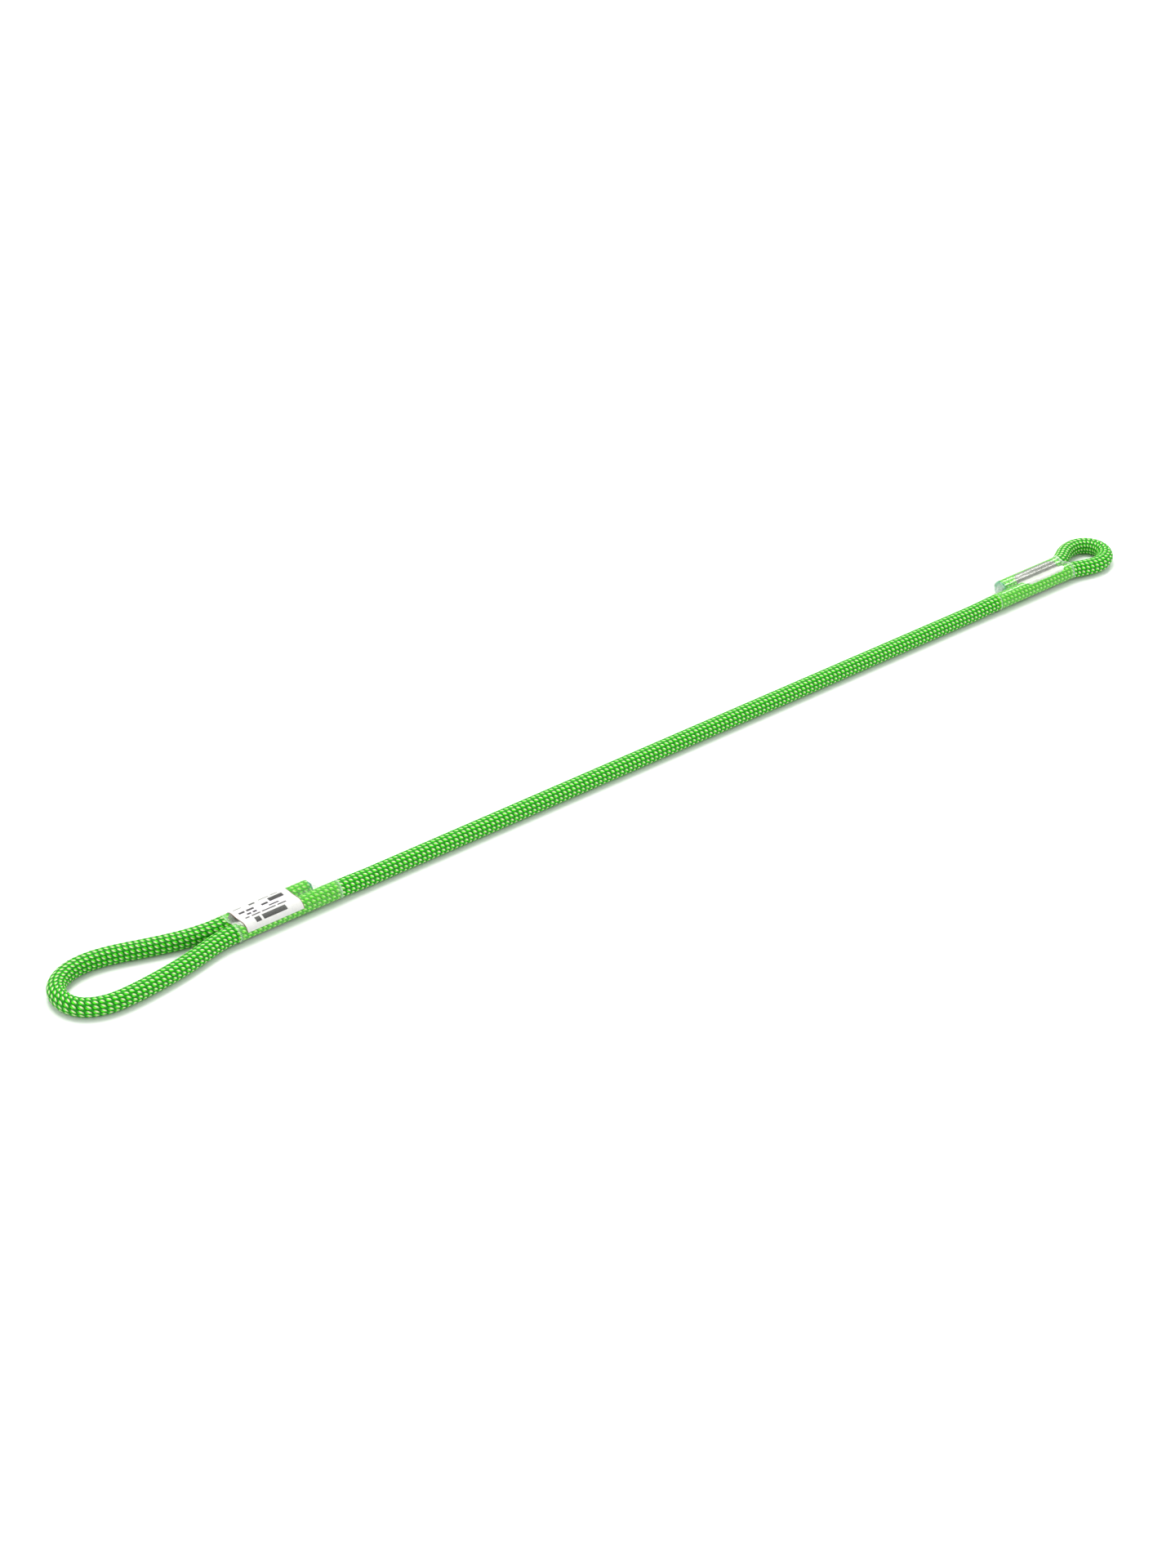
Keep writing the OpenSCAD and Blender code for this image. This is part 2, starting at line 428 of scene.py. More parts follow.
def pressed(centre, normals, stitch):
    """How much each point of a leg is pressed in by the stitching: from 0 to 1."""
    standing_from, tail_from, turn = -42, -22, 14  # degrees from the top of the leg
    inner_from, inner_to = 58, 76
    standing = np.abs(centre[..., 1] - STANDING_Y) < np.abs(centre[..., 1] - TAIL_Y)
    inward = np.where(standing, normals[..., 1], -normals[..., 1])
    lean = np.degrees(np.arctan2(inward, np.abs(normals[..., 2])))
    start = np.where(standing, standing_from, tail_from)
    face = smooth_step(lean, start, start + turn) * (1 - smooth_step(lean, inner_from, inner_to))
    return face * window(centre[..., 0], STITCHES_X, stitch.thread, stitch.thread)


def rope_piece(name, route, first, last):
    """The braided sheath from one ring of the route to another, as one closed mesh."""
    rope, stitch = settings("rope"), settings("stitch")
    rings = np.arange(first, last + 1)
    turn = np.arange(rope.sides + 1) / rope.sides
    pattern = braid(turn[None, :], route.along[rings][:, None], rope)
    normal = outward(2 * math.pi * turn[:-1], route.side[rings], route.up[rings])
    centre = route.centre[rings][:, None, :]
    squeeze = pressed(centre, normal, stitch)
    radius = ROPE_RADIUS - rope.relief * (1 - pattern["lift"][:, :-1]) - stitch.press * squeeze
    made = tube(name, centre + radius[..., None] * normal, route.centre[[first, last]])
    for key in ("lift", "over", "pale"):
        paint(made, key, pattern[key][:, :-1])
    film_edge = 0.4 * MM
    covered = window(route.centre[rings, 0], SLEEVES_X, film_edge, film_edge)
    paint(made, "sleeved", np.repeat(covered, rope.sides))
    lay_strands(made, np.stack([pattern["u"], pattern["v"]], -1))
    return made


def lay_strands(made, at):
    """A UV map that counts strands one way in U and the other way in V, for the fibres."""
    corners = np.stack([at[:-1, :-1], at[:-1, 1:], at[1:, 1:], at[1:, :-1]], 2).reshape(-1, 2)
    uv = np.zeros((len(made.data.loops), 2), np.float32)
    uv[: len(corners)] = corners
    made.data.uv_layers.new(name="strands").data.foreach_set("uv", uv.ravel())


def core_piece(name, route, first, last):
    """The twisted core strands from one ring of the route to another, as one closed mesh."""
    sides, plies, stride, twist = 56, 7, 4, 42 * MM
    groove, inset = 0.6 * MM, 0.1 * MM
    rings = np.unique(np.append(np.arange(first, last, stride), last))
    turns = around(sides)
    phase = plies * (turns[None, :] / 2 - math.pi * route.along[rings][:, None] / twist)
    lift = np.abs(np.cos(phase))
    radius = CORE_RADIUS - inset - groove * (1 - lift)
    normal = outward(turns, route.side[rings], route.up[rings])
    ends = route.centre[[first, last]] + inset * route.tangent[[first, last]] * [[1], [-1]]
    made = tube(name, route.centre[rings][:, None, :] + radius[..., None] * normal, ends)
    paint(made, "lift", lift)
    return made


# ---- materials ----


def add_node(tree, kind, inputs=None, **properties):
    """A node with some of its properties set, and its inputs set or linked."""
    made = tree.nodes.new(kind)
    for key, value in properties.items():
        setattr(made, key, value)
    for key, value in (inputs or {}).items():
        if isinstance(value, bpy.types.NodeSocket):
            tree.links.new(value, made.inputs[key])
        else:
            made.inputs[key].default_value = value
    return made


def new_material(name, specular, **constants):
    """A material with one Principled shader, and constants on its own sockets."""
    material = bpy.data.materials.new(name)
    material.use_nodes = True
    tree = material.node_tree
    shader = tree.nodes["Principled BSDF"]
    shader.inputs["Specular IOR Level"].default_value = specular
    for key, value in constants.items():
        shader.inputs[key.replace("_", " ").title()].default_value = value
    return material, tree, shader


def link_shader(tree, shader, color, roughness, normal):
    for name, value in (("Base Color", color), ("Roughness", roughness), ("Normal", normal)):
        tree.links.new(value, shader.inputs[name])


def attribute(tree, name):
    return add_node(tree, "ShaderNodeAttribute", attribute_name=name).outputs["Fac"]


def math_node(tree, operation, *values):
    made = add_node(tree, "ShaderNodeMath", dict(enumerate(values)), operation=operation)
    return made.outputs[0]


def mix_color(tree, factor, a, b, blend="MIX"):
    """Colour a turned into colour b by a factor."""
    a, b = ((*c, 1) if not isinstance(c, bpy.types.NodeSocket) else c for c in (a, b))
    made = add_node(
        tree, "ShaderNodeMix", {0: factor, 6: a, 7: b}, data_type="RGBA", blend_type=blend
    )
    return made.outputs[2]


def noise(tree, vector, scale, detail=2.0, roughness=0.5):
    inputs = {"Vector": vector, "Scale": scale, "Detail": detail, "Roughness": roughness}
    return add_node(tree, "ShaderNodeTexNoise", inputs).outputs["Fac"]


def span(tree, value, low, high, start=0.0, end=1.0):
    """A value spread from one range to another, and kept inside it."""
    inputs = {"Value": value, "From Min": start, "From Max": end, "To Min": low, "To Max": high}
    return add_node(tree, "ShaderNodeMapRange", inputs).outputs[0]


def bump(tree, height, distance, strength=1.0):
    inputs = {"Height": height, "Distance": distance, "Strength": strength}
    return add_node(tree, "ShaderNodeBump", inputs).outputs["Normal"]


def object_place(tree):
    return add_node(tree, "ShaderNodeTexCoord").outputs["Object"]


def braid_material(rope):
    """Dyed polyamide yarns, with their filaments: one green and a pale green, with painted shade on
    the crossing strands and in the valleys between strands, and a painted highlight on the running
    strands.
    """
    material, tree, shader = new_material("dyed_yarns", 0.16)
    over, pale, lift, under_film = (
        attribute(tree, name) for name in ("over", "pale", "lift", "sleeved")
    )
    uv = add_node(tree, "ShaderNodeUVMap", uv_map="strands").outputs[0]
    u, v, _ = add_node(tree, "ShaderNodeSeparateXYZ", {0: uv}).outputs
    fibre_maps = []
    for across, run in ((v, u), (u, v)):
        across = math_node(tree, "MULTIPLY", across, 13.0)
        run = math_node(tree, "MULTIPLY", run, 0.9)
        fibre_maps.append(add_node(tree, "ShaderNodeCombineXYZ", {0: across, 1: run}).outputs[0])
    chosen = add_node(
        tree, "ShaderNodeMix", {0: over, 4: fibre_maps[0], 5: fibre_maps[1]}, data_type="VECTOR"
    ).outputs[1]
    fibres = noise(tree, chosen, 1.0, 3.0, 0.6)
    patches = noise(tree, uv, 0.8, 1.0)

    # Painted shade on the crossing strands and painted highlight on the running strands, drawn
    # lighter under the film
    crossing = mix_color(tree, under_film, rope.shaded_crossing_green, rope.sleeved_shaded_crossing)
    running = mix_color(tree, under_film, rope.lit_running_green, rope.sleeved_lit_running)
    green = mix_color(tree, over, crossing, running)
    fleck = mix_color(tree, under_film, rope.pale_green, rope.sleeved_pale)
    dye_and_painted_light = mix_color(tree, pale, green, fleck)
    # Painted shade: darker in the valleys between strands, by how low each point lies, and less so
    # under the film. The fibres and patches add tone that differs at random.
    less_shade_under_film = math_node(tree, "MULTIPLY", under_film, 0.45)
    valley_shade = math_node(tree, "MAXIMUM", span(tree, lift, 0.01, 0.90, 0.36, 0.94), less_shade_under_film)
    shade = math_node(tree, "MULTIPLY", valley_shade, span(tree, fibres, 0.80, 1.12, 0.3, 0.7))
    shade = math_node(tree, "MULTIPLY", shade, span(tree, patches, 0.92, 1.06, 0.3, 0.7))
    grey = add_node(tree, "ShaderNodeCombineColor", {0: shade, 1: shade, 2: shade}).outputs[0]
    colored = mix_color(tree, 1.0, dye_and_painted_light, grey, "MULTIPLY")
    roughness = span(tree, fibres, 0.62, 0.40, 0.3, 0.7)
    link_shader(tree, shader, colored, roughness, bump(tree, fibres, 0.06 * MM, 0.7))
    return material


def core_material(rope):
    """Undyed polyamide plies, with painted shade in the grooves between them."""
    material, tree, shader = new_material("undyed_plies", 0.4, sheen_weight=0.2)
    lift = attribute(tree, "lift")
    hair = noise(tree, object_place(tree), 1800.0, 3.0)
    # Painted shade: the white is drawn darker in the grooves between the plies
    groove_shade = tuple(0.55 * c for c in rope.core_white)
    colored = mix_color(tree, span(tree, lift, 0.0, 1.0, 0.1, 0.8), groove_shade, rope.core_white)
    link_shader(tree, shader, colored, span(tree, hair, 0.75, 0.5), bump(tree, hair, 0.08 * MM))
    return material


def melt_material(rope):
    """Polyamide that was cut with a hot blade: glassy, with streaks of undissolved yarn."""
    material, tree, shader = new_material("hot_cut_rope", 0.5, coat_weight=0.3)
    streaks = noise(tree, object_place(tree), 900.0, 4.0, 0.6)
    bright = tuple(min(1.0, 2.6 * c + 0.02) for c in rope.melt_green)
    colored = mix_color(tree, span(tree, streaks, 0, 1, 0.4, 0.7), rope.melt_green, bright)
    roughness = span(tree, streaks, 0.22, 0.5)
    link_shader(tree, shader, colored, roughness, bump(tree, streaks, 0.15 * MM))
    return material


def thread_material(stitch):
    """Twisted polyester thread, off-white, with painted shade that turns it grey on the tail leg's
    side of the valley, which faces away from the light.
    """
    material, tree, shader = new_material("twisted_thread", 0.5, sheen_weight=0.25)
    place = object_place(tree)
    inputs = {"Vector": place, "Scale": 900.0, "Distortion": 1.5, "Detail": 1.0}
    twist = add_node(tree, "ShaderNodeTexWave", inputs, bands_direction="DIAGONAL").outputs["Fac"]
    soil = noise(tree, place, 260.0, 3.0)
    # Painted shade: grey on the tail leg's side of the valley
    thread = mix_color(tree, attribute(tree, "tail_side"), stitch.thread_white, stitch.shaded_thread_grey)
    worn = (0.80, 0.80, 0.78)
    colored = mix_color(tree, span(tree, soil, 0, 1, 0.35, 0.7), thread, worn, "MULTIPLY")
    link_shader(tree, shader, colored, span(tree, twist, 0.62, 0.42), bump(tree, twist, 0.05 * MM))
    return material


def film_material(sleeve):
    """Clear shrunk film: see-through, glossy, and a little milky in patches."""
    tint = (*sleeve.film_tint, 1)
    material, tree, shader = new_material("shrunk_film", 0.5, base_color=tint)
    inputs = {"Vector": object_place(tree), "Scale": (0.25, 1.0, 1.0)}
    stretched = add_node(tree, "ShaderNodeMapping", inputs).outputs[0]
    patches = noise(tree, stretched, 420.0, 3.0, 0.6)
    ripples = noise(tree, stretched, 900.0)
    normal = bump(tree, ripples, 0.10 * MM, 0.5)
    tree.links.new(span(tree, patches, 0.25, 0.45, 0.3, 0.7), shader.inputs["Roughness"])
    tree.links.new(normal, shader.inputs["Normal"])
    clear = add_node(tree, "ShaderNodeBsdfTransparent", {"Color": (0.985, 0.995, 0.975, 1)})
    even_haze = span(tree, patches, 0.45 * sleeve.haze, 1.6 * sleeve.haze, 0.3, 0.7)
    creased = span(tree, patches, 0.4 * sleeve.milkiness, 1.6 * sleeve.milkiness, 0.3, 0.7)
    milky = math_node(tree, "MULTIPLY", attribute(tree, "milky"), creased)
    haze = math_node(tree, "MAXIMUM", even_haze, milky)
    shine = add_node(tree, "ShaderNodeBsdfGlossy", {"Roughness": 0.16, "Normal": normal})
    turned = add_node(tree, "ShaderNodeLayerWeight", {"Blend": 0.5, "Normal": normal})
    facing = math_node(tree, "POWER", turned.outputs["Facing"], 5.0)
    mixed = clear
    for amount, added in ((haze, shader), (span(tree, facing, 0.012, 0.55), shine)):
        inputs = {0: amount, 1: mixed.outputs[0], 2: added.outputs[0]}
        mixed = add_node(tree, "ShaderNodeMixShader", inputs)
    tree.links.new(mixed.outputs[0], tree.nodes["Material Output"].inputs["Surface"])
    return material


def label_materials(label):
    """The label's film, its ink and its cut edge."""
    made = []
    for name, tone, low, high in (
        ("printed_film", label.film_white, 0.35, 0.5),
        ("printing_ink", label.ink, 0.25, 0.4),
        ("cut_film_edge", label.edge_brown, 0.5, 0.7),
    ):
        material, tree, shader = new_material(name, 0.5)
        grain = noise(tree, object_place(tree), 700.0, 3.0)
        worn = tuple(0.92 * c + 0.01 for c in tone)
        colored = mix_color(tree, span(tree, grain, 0, 1, 0.35, 0.65), tone, worn)
        roughness = span(tree, grain, low, high)
        link_shader(tree, shader, colored, roughness, bump(tree, grain, 0.01 * MM))
        made.append(material)
    return made


def floor_material(stage):
    """Matt pale paper."""
    material, tree, shader = new_material("floor", 0.2, roughness=0.8)
    grain = noise(tree, object_place(tree), 60.0, 4.0)
    shade = tuple(0.992 * c for c in stage.floor_white)
    colored = mix_color(tree, grain, stage.floor_white, shade)
    tree.links.new(colored, shader.inputs["Base Color"])
    return material


# ---- the operators ----


class LANYARD_OT_stage(Operator):
    """Sets up the camera, the floor and the light"""

    bl_idname = "lanyard.stage"
    bl_label = "Stage"

    def execute(self, context):
        stage = settings("stage")
        scene = context.scene
        self.add_camera(scene, stage)
        half = 7.0
        corners = [(-half, -half, 0), (half, -half, 0), (half, half, 0), (-half, half, 0)]
        floor = mesh_object("floor", corners, [(0, 1, 2, 3)])
        floor.data.materials.append(floor_material(stage))
        self.add_light(scene, stage)
        return {"FINISHED"}

    @staticmethod
    def add_camera(scene, stage):
        camera = bpy.data.objects.new("camera", bpy.data.cameras.new("camera"))
        camera.data.sensor_fit = "HORIZONTAL"
        camera.data.sensor_width = 36.0
        camera.data.angle = stage.view_angle
        camera.data.clip_end = 50.0
        level = math.cos(stage.elevation)
        x, y = math.sin(stage.azimuth) * level, math.cos(stage.azimuth) * level
        ahead = Vector((x, y, -math.sin(stage.elevation)))
        camera.location = Vector((stage.aim_x, stage.aim_y, 0)) - ahead * stage.distance
        camera.rotation_mode = "QUATERNION"
        camera.rotation_quaternion = ahead.to_track_quat("-Z", "Y")
        scene.collection.objects.link(camera)
        scene.camera = camera

    @staticmethod
    def add_light(scene, stage):
        scene.view_settings.view_transform = "Standard"
        world = bpy.data.worlds.new("soft_sky")
        world.use_nodes = True
        background = world.node_tree.nodes["Background"]
        background.inputs["Color"].default_value = (0.985, 0.99, 1.0, 1)
        background.inputs["Strength"].default_value = stage.sky_strength
        scene.world = world
        for name, power, size, place in (
            ("key_light", stage.key_power, 1.1, (0.00, 0.62, 2.20)),
            ("rim_light", stage.rim_power, 0.3, (1.75, 0.80, 1.60)),
        ):
            light = bpy.data.objects.new(name, bpy.data.lights.new(name, "AREA"))
            light.data.shape = "SQUARE"
            light.data.size = size
            light.data.energy = power
            light.data.color = (1.0, 0.985, 0.96)
            light.location = place
            light.rotation_mode = "QUATERNION"
            light.rotation_quaternion = (-light.location).to_track_quat("-Z", "Y")
            scene.collection.objects.link(light)


def rope_materials(rope):
    """The sheath's material and the core's, made the first time that they are asked for."""
    makers = {"dyed_yarns": braid_material, "undyed_plies": core_material}
    return [bpy.data.materials.get(name) or make(rope) for name, make in makers.items()]


def eye_rope(eye, end, body, route, stretches):
    """One eye's rope: three stretches of sheath, with the loop as the second, and the core in them.

    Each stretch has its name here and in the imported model, and its first and last ring. eye and end
    are what the eye's names begin with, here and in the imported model.
    """
    braided, strands = rope_materials(settings("rope"))
    sheaths = [
        rope_piece(f"{eye}_{name}", route, first, last) for name, _, first, last in stretches
    ]
    core = core_piece(f"{eye}_core", route, stretches[0][2], stretches[-1][3])
    for sheath, (_, node, _, _) in zip(sheaths, stretches):
        finish_piece(sheath, body, [f"{end}_{node}_sheath"], "braided_sheath", braided)
    nodes = [f"{end}_{node}_core" for node in ("tail", "eye", "standing")]
    finish_piece(core, body, nodes, "core_strands", strands)


class LANYARD_OT_large_eye_rope(Operator):
    """Makes the rope of the large eye: its tail leg, its loop and its standing leg"""

    bl_idname = "lanyard.large_eye_rope"
    bl_label = "Large Eye"

    def execute(self, context):
        route = Route(settings("rope"))
        first, last = (route.index(distance) for distance in route.large_eye)
        stretches = [
            ("tail_leg", "tail", 0, first), ("loop", "eye", first, last),
            ("standing_leg", "standing", last, route.standing(FREE_ROPE_X[0])),
        ]
        eye_rope("large_eye", "near", LARGE_END, route, stretches)
        return {"FINISHED"}


class LANYARD_OT_free_rope(Operator):
    """Makes the free rope between the sleeves, one piece for each bend"""

    bl_idname = "lanyard.free_rope"
    bl_label = "Free Rope"

    def execute(self, context):
        rope = settings("rope")
        route = Route(rope)
        braided, strands = rope_materials(rope)
        middles = [joint["pos_m"][0] + BEND_STEP / 2 for joint in BENDS[:-1]]
        cuts = [FREE_ROPE_X[0], *middles, FREE_ROPE_X[1]]
        for number, joint in enumerate(BENDS, 1):
            first, last = (route.standing(x) for x in cuts[number - 1 : number + 1])
            sheath = rope_piece(f"rope_bend_{number}", route, first, last)
            core = core_piece(f"core_bend_{number}", route, first, last)
            node = "far_standing" if number == len(BENDS) else f"shank_{number}"
            finish_piece(sheath, None, [f"{node}_sheath"], "braided_sheath", braided)
            finish_piece(core, None, [f"{node}_core"], "core_strands", strands)
            for made in (sheath, core):
                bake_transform(made)
        return {"FINISHED"}


class LANYARD_OT_small_eye_rope(Operator):
    """Makes the rope of the small eye: its standing leg, its loop and its tail leg"""

    bl_idname = "lanyard.small_eye_rope"
    bl_label = "Small Eye"

    def execute(self, context):
        route = Route(settings("rope"))
        first, last = (route.index(distance) for distance in route.small_eye)
        stretches = [
            ("standing_leg", "standing", route.standing(FREE_ROPE_X[1]), first),
            ("loop", "eye", first, last), ("tail_leg", "tail", last, len(route.along) - 1),
        ]
        eye_rope("small_eye", "far", SMALL_END, route, stretches)
        return {"FINISHED"}


class LANYARD_OT_melted_ends(Operator):
    """Makes the two melted tail ends"""

    bl_idname = "lanyard.melted_ends"
    bl_label = "Melted Ends"

    def execute(self, context):
        melted = melt_material(settings("rope"))
        for name, body, node, x, face_x in (
            ("large_eye_melted_end", LARGE_END, "near_tail_cap", LARGE_TAIL_X, LARGE_CAP_X),
            ("small_eye_melted_end", SMALL_END, "far_tail_cap", SMALL_TAIL_X, SMALL_CAP_X),
        ):
            made = self.melted_end(name, x, face_x)
            finish_piece(made, body, [node], "melted_rope", melted)
        return {"FINISHED"}

    @staticmethod
    def melted_end(name, x, face_x):
        """A lumpy domed disc that begins inside the sheath's end, and is dented in its middle."""
        sides, way, shrink = 72, math.copysign(1, face_x - x), 0.02
        thick = abs(face_x - x)
        # share of the rope's radius, and share of the end's thickness, from the back to the front
        profile = np.array(
            [(0.60, -0.75), (0.86, -0.72), (0.95, -0.50), (0.985, -0.15), (0.985, 0.20),
             (0.95, 0.50), (0.86, 0.76), (0.70, 0.90), (0.50, 0.93), (0.30, 0.88), (0.14, 0.85)]
        )
        turns = around(sides)
        waves = ((0.03, 3, 0.7), (0.02, 7, x), (0.012, 13, 0))
        lumps = sum(size * np.sin(count * turns + phase) for size, count, phase in waves)[None, :]
        forward = profile[:, 1:]
        radius = ROPE_RADIUS * profile[:, :1] * (1 + lumps * np.clip(forward + 1, 0, 1) - shrink)
        reach = thick * forward * (1 + 2.0 * lumps)
        y = TAIL_Y + way * radius * np.cos(turns)
        rings = np.stack([x + way * reach, y, AXIS_Z + radius * np.sin(turns)], -1)
        ends = [(x + way * thick * share, TAIL_Y, AXIS_Z) for share in profile[[0, -1], 1]]
        return tube(name, rings, ends)


class LANYARD_OT_stitching(Operator):
    """Makes the zigzag stitching that joins the two legs of each eye"""

    bl_idname = "lanyard.stitching"
    bl_label = "Stitching"

    def execute(self, context):
        stitch = settings("stitch")
        thread = thread_material(stitch)
        for name, body, node, block, seed in (
            ("large_eye_stitching", LARGE_END, "near_stitching", LARGE_STITCH_X, 3),
            ("small_eye_stitching", SMALL_END, "far_stitching", SMALL_STITCH_X, 4),
        ):
            lines = [self.zigzag(block, way, stitch, seed + way) for way in (1, -1)]
            made = self.threads(name, lines, stitch.thread / 2)
            y = np.array([vertex.co.y for vertex in made.data.vertices])
            valley = (STANDING_Y + TAIL_Y) / 2
            # Painted shade: marks the thread on the tail leg's side of the valley, to be drawn grey
            paint(made, "tail_side", smooth_step(y, valley, valley + stitch.thread))
            finish_piece(made, body, [node], "sewing_thread", thread)
        return {"FINISHED"}

    @staticmethod
    def zigzag(block, way, stitch, seed):
        """The thread's route over one face: across from leg to leg, down into each leg and back."""
        random = np.random.default_rng(seed)
        radius = ROPE_RADIUS - stitch.depth
        lean = math.radians(60)
        reach, drop = radius * math.sin(lean), radius * math.cos(lean)
        rounded_passes, rounded_by = 6, 2.2 * MM  # at the corners of the block
        out_scatter, along_scatter, slant = 0.25, 0.06, 0.30
        dive_out, dive_down = 0.15 * MM, 0.6 * MM
        reach_past = np.array([stitch.standing_overrun, stitch.tail_overrun])
        line = []
        inset = stitch.thread / 2
        places = np.linspace(block[0] + inset, block[1] - inset, stitch.passes)
        pitch = places[1] - places[0]
        for number, x in enumerate(places):
            edge = min(number, stitch.passes - 1 - number) / rounded_passes
            short = rounded_by * max(0.0, 1 - edge) ** 2
            out = reach_past - short + random.uniform(-out_scatter, out_scatter, 2) * MM
            y = np.concatenate(
                [
                    np.linspace(STANDING_Y - out[0], STANDING_Y + reach, 9),
                    np.linspace(STANDING_Y + reach, TAIL_Y - reach, 5)[1:-1],
                    np.linspace(TAIL_Y - reach, TAIL_Y + out[1], 9),
                ]
            )
            leg = np.where(y < (STANDING_Y + TAIL_Y) / 2, STANDING_Y, TAIL_Y)
            z = np.sqrt(np.maximum(radius**2 - (y - leg) ** 2, drop**2))
            y = np.concatenate([[y[0] - dive_out], y, [y[-1] + dive_out]])
            z = np.concatenate([[z[0] - dive_down], z, [z[-1] - dive_down]])
            across = (y - y[0]) / (y[-1] - y[0])
            scatter = random.uniform(-along_scatter, along_scatter) * MM
            along = x + pitch * slant * (across - 0.5) + scatter
            points = np.stack([along, y, AXIS_Z + way * z], -1)
            line.extend(points if number % 2 == 0 else points[::-1])
        return np.array(line)

    @staticmethod
    def threads(name, lines, radius):
        """Closed round threads along some lines, in one mesh."""
        sides = 8
        points, quads, fans, count = [], [], [], 0
        for line in lines:
            tangent = unit(np.gradient(line, axis=0))
            side = np.cross(tangent, [1.0, 0, 0])
            side /= np.maximum(np.linalg.norm(side, axis=1), 1e-9)[:, None]
            for i in range(1, len(side)):  # the same way round all along
                if side[i] @ side[i - 1] < 0:
                    side[i] = -side[i]
            normal = outward(around(sides), side, np.cross(tangent, side))
            rings = (line[:, None, :] + radius * normal).reshape(-1, 3)
            points += [rings, line[[0, -1]]]
            quads.append(wrapped_quads(len(line), sides) + count)
            fans.append(end_fans(len(line), sides, len(rings)) + count)
            count += len(rings) + 2
        return mesh_object(name, *(np.concatenate(parts) for parts in (points, quads, fans)))


# Printed bars in flat millimetres of the label. Each line's start and end across the label has the
# starts and ends of its bars along the rope.
PRINTED_LINES = {
    (3.2, 6.3): [(7.0, 10.2), (11.6, 25.9)],
    (8.1, 9.1): [(3.5, 6.0), (7.4, 12.6), (13.7, 22.0), (23.1, 28.4)],
    (10.5, 11.9): [(6.3, 8.7), (9.8, 12.3)],
    (10.5, 11.6): [(19.6, 25.6)],
    (13.3, 14.7): [(3.2, 6.7), (7.7, 12.3)],
    (13.0, 14.4): [(16.8, 20.7)],
    (13.7, 16.5): [(22.1, 30.8)],
    (16.8, 18.2): [(11.6, 15.1)],
    (17.9, 18.6): [(2.5, 7.4), (17.9, 24.2), (25.2, 29.4)],
}


class LANYARD_OT_label(Operator):
    """Makes the label that lies over both legs of the large eye, under its sleeve"""

    bl_idname = "lanyard.label"
    bl_label = "Label"

    def execute(self, context):
        label = settings("label")
        radius = ROPE_RADIUS + label.fit
        outline = self.outline(radius, label)
        made, flat = self.film(outline, label)
        finish_piece(made, LARGE_END, ["label"], "label_film", *label_materials(label))
        return {"FINISHED"}

    @staticmethod
    def outline(radius, label):
        """Points across the label as (y, height over the rope's axis), over both legs."""
        low = math.asin((LABEL_BOX[0].z - AXIS_Z) / radius)
        arc = radius * (math.pi / 2 - low)
        gap = TAIL_Y - STANDING_Y
        total = 2 * arc + gap
        at = np.linspace(0, total, int(round(total / label.cell)) + 1)
        across = np.clip((at - arc) / gap, 0, 1)
        lean = (np.minimum(at - arc, 0) + np.maximum(at - arc - gap, 0)) / radius
        height = radius * np.cos(lean) - label.sag * np.sin(math.pi * across) ** 2
        return np.stack([STANDING_Y + gap * across + radius * np.sin(lean), height], -1)

    @staticmethod
    def film(outline, label):
        """The label as a thin closed sheet with its print, and its flat width and length."""
        columns = len(outline)
        start, end = LABEL_BOX[0].x, LABEL_BOX[1].x
        rows = int(round((end - start) / label.cell)) + 1
        x = np.linspace(start, end, rows)
        slope = unit(np.gradient(outline, axis=0))
        out = np.stack([-slope[:, 1], slope[:, 0]], -1)
        points = np.empty((2, rows, columns, 3))
        points[..., 0] = x[:, None]
        points[..., 1:] = outline + [0, AXIS_Z]
        points[1, ..., 1:] += label.thickness * out
        under = np.arange(rows * columns).reshape(rows, columns)
        corners = [under[:-1, :-1], under[1:, :-1], under[1:, 1:], under[:-1, 1:]]
        cell = np.stack(corners, -1).reshape(-1, 4)
        border = np.concatenate([under[0, :-1], under[:-1, -1], under[-1, :0:-1], under[:0:-1, 0]])
        after, top = np.roll(border, -1), under.size
        rim = np.stack([border, after, after + top, border + top], -1)
        quads = np.concatenate([cell + top, cell[:, ::-1], rim])
        made = mesh_object("printed_label", points.reshape(-1, 3), quads)
        j, k = np.indices((rows - 1, columns - 1)).reshape(2, -1)
        along, across = (j + 0.5) * label.cell / MM, (k + 0.5) * label.cell / MM
        inked = np.zeros(len(cell), bool)
        for (low, high), bars in PRINTED_LINES.items():
            for start_mm, end_mm in bars:
                in_bar = (along > start_mm) & (along < end_mm)
                inked |= in_bar & (across > low) & (across < high)
        cut = (j == 0) | (j == rows - 2)
        film, ink, edge = 0, 1, 2  # in the order of label_materials
        index = np.full(len(made.data.polygons), film, np.int32)
        index[: len(cell)] = np.where(cut, edge, np.where(inked, ink, film))
        index[2 * len(cell) :] = edge
        made.data.polygons.foreach_set("material_index", index)
        flat = (label.cell * (columns - 1), end - start)
        return made, flat


